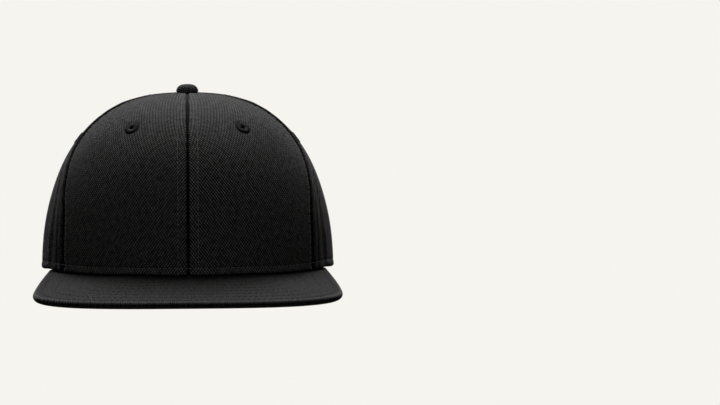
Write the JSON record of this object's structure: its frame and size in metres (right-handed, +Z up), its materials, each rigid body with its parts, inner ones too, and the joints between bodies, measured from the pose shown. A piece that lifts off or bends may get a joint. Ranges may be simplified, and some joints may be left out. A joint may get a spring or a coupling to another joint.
{
  "type": "snapback cap",
  "caption": "Black six-panel cap with a tall stiffened crown, flat brim, covered button, sewn eyelets and an adjustable plastic strap across the rear opening.",
  "frame": {"origin": "on the surface that the cap stands on, under the middle of its length and width", "axes": "+X to the right as seen from the front, -Y out over the brim, +Z up through the button"},
  "size_m": [0.179, 0.2767, 0.1168],
  "materials": {
    "twill": "matt black twill",
    "brim_twill": "matt black twill over a stiff board",
    "thread": "black embroidery thread",
    "band_cloth": "black cotton band",
    "strap_plastic": "satin black moulded plastic"
  },
  "bodies": {
    "root": {"front_panel_left": "twill", "front_panel_right": "twill", "side_panel_left": "twill", "side_panel_right": "twill", "back_panel_left": "twill", "back_panel_right": "twill", "front_eyelet_left": "thread", "front_eyelet_right": "thread", "side_eyelet_left": "thread", "side_eyelet_right": "thread", "back_eyelet_left": "thread", "back_eyelet_right": "thread", "button": "twill", "brim": "brim_twill", "sweatband": "band_cloth", "strap_with_holes": "strap_plastic", "strap_with_pegs": "strap_plastic"}
  },
  "joints": []
}
